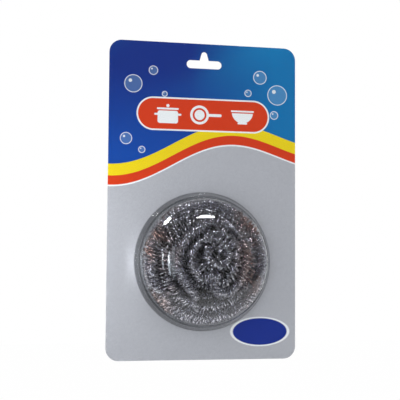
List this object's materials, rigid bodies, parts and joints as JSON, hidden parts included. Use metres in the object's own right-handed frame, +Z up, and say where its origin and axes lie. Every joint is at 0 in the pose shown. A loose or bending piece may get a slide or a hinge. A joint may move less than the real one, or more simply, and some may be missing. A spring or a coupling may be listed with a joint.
{
  "type": "carded wire pot scrubber",
  "caption": "Hanging card with a clear round blister dome over a coiled steel-wire pot scrubber; the blister peels open from below and the scrubber comes off the card.",
  "frame": {"origin": "axis of the hook rod in the top of the hang slot's lobe, on the back face of the card", "axes": "+Z up along the card, +X to the right of someone who faces the printed side, +Y out of the back of the card"},
  "size_m": [0.115, 0.0242, 0.19],
  "materials": {
    "card": "gloss",
    "film": "polished",
    "wire": "polished"
  },
  "bodies": {
    "card": {"backing_card": "card"},
    "scrubber": {"rear_strand": "wire", "front_strand": "wire"},
    "blister": {"blister": "film"}
  },
  "joints": [
    {"name": "scrubber_lift", "type": "slide", "parent": "card", "child": "scrubber", "axis": [0, -1, 0], "range_m": [0, 0.06]},
    {"name": "blister_peel", "type": "hinge", "parent": "scrubber", "child": "blister", "pos_m": [0, -0.0005, 0.0068], "axis": [-1, 0, 0], "range_deg": [0, 110]}
  ]
}
